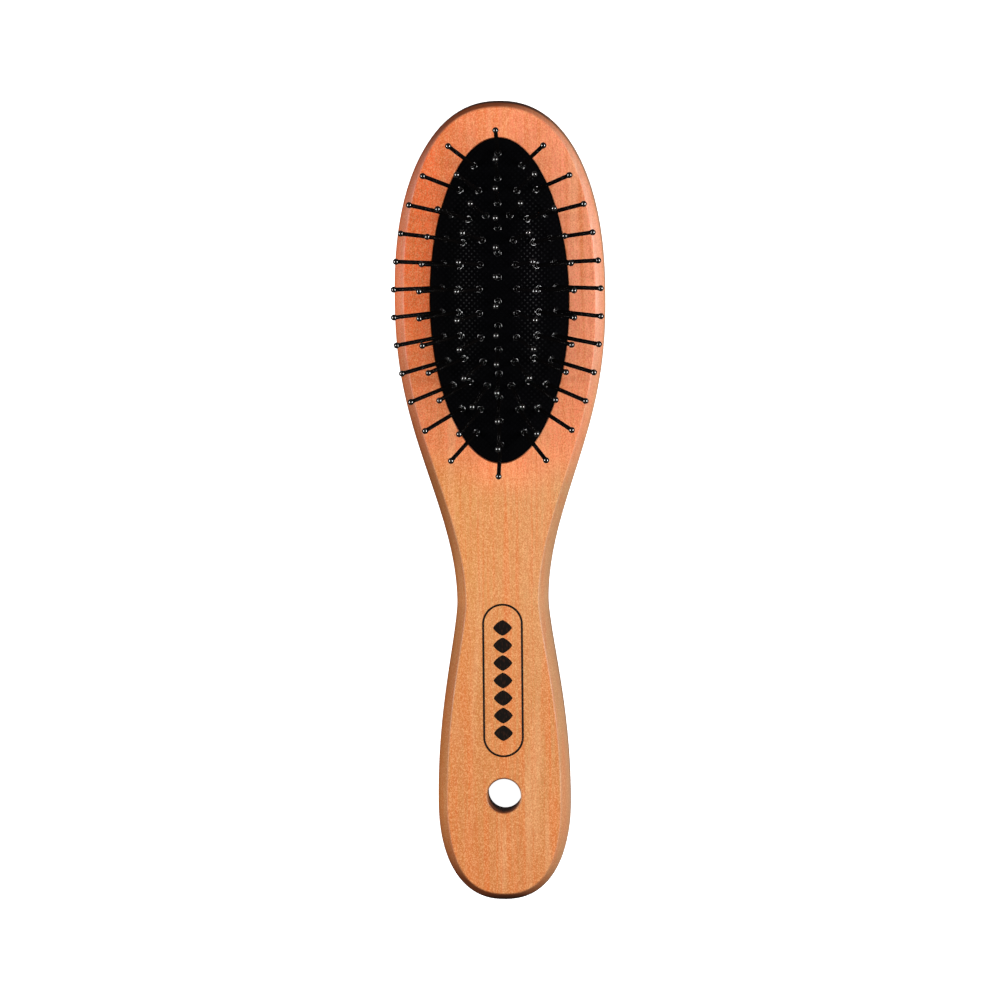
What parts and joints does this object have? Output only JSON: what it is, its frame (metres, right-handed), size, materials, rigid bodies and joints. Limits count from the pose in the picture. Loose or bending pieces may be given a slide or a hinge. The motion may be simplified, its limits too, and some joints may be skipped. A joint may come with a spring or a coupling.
{
  "type": "cushion brush",
  "caption": "Wooden cushion hair brush: paddle head, domed rubber pad with ball-tipped pins, waisted handle with a hang hole.",
  "frame": {"origin": "centre of the brush's outline, on the flat of the wooden back", "axes": "+Y along the brush towards the head end, +Z square to the wood's front face, out along the pins, +X across the brush"},
  "size_m": [0.0564, 0.213, 0.0416],
  "materials": {
    "wood": "smooth satin lacquer",
    "rubber": "matte",
    "pins": "polished black enamel"
  },
  "bodies": {
    "body": {"wood_body": "wood", "rubber_cushion": "rubber"},
    "crown": {"pins_centre_0": "pins", "pins_centre_1": "pins", "pins_centre_2": "pins", "pins_near_1": "pins", "pins_near_2": "pins"},
    "upper_ring": {"pins_centre_3": "pins", "pins_centre_4": "pins", "pins_near_3": "pins", "pins_near_4": "pins"},
    "middle_ring": {"pins_mid_1": "pins", "pins_mid_2": "pins", "pins_mid_3": "pins", "pins_mid_4": "pins", "pins_near_5": "pins", "pins_centre_5": "pins"},
    "outer_ring": {"pins_far_1": "pins", "pins_far_2": "pins", "pins_far_3": "pins", "pins_far_4": "pins", "pins_far_5": "pins", "pins_far_6": "pins", "pins_centre_6": "pins"}
  },
  "joints": [
    {"name": "crown_press", "type": "slide", "parent": "body", "child": "crown", "axis": [0, 0, 1], "range_m": [-0.0036, 0], "stiffness_N_per_m": 2500, "deforming": ["rubber_cushion"]},
    {"name": "upper_ring_press", "type": "slide", "parent": "body", "child": "upper_ring", "axis": [0, 0, 1], "range_m": [-0.00288, 0]},
    {"name": "middle_ring_press", "type": "slide", "parent": "body", "child": "middle_ring", "axis": [0, 0, 1], "range_m": [-0.00227, 0]},
    {"name": "outer_ring_press", "type": "slide", "parent": "body", "child": "outer_ring", "axis": [0, 0, 1], "range_m": [-0.00104, 0]}
  ],
  "couplings": [
    {"joint": "upper_ring_press", "follows": "crown_press", "ratio": 0.8},
    {"joint": "middle_ring_press", "follows": "crown_press", "ratio": 0.63},
    {"joint": "outer_ring_press", "follows": "crown_press", "ratio": 0.29}
  ]
}
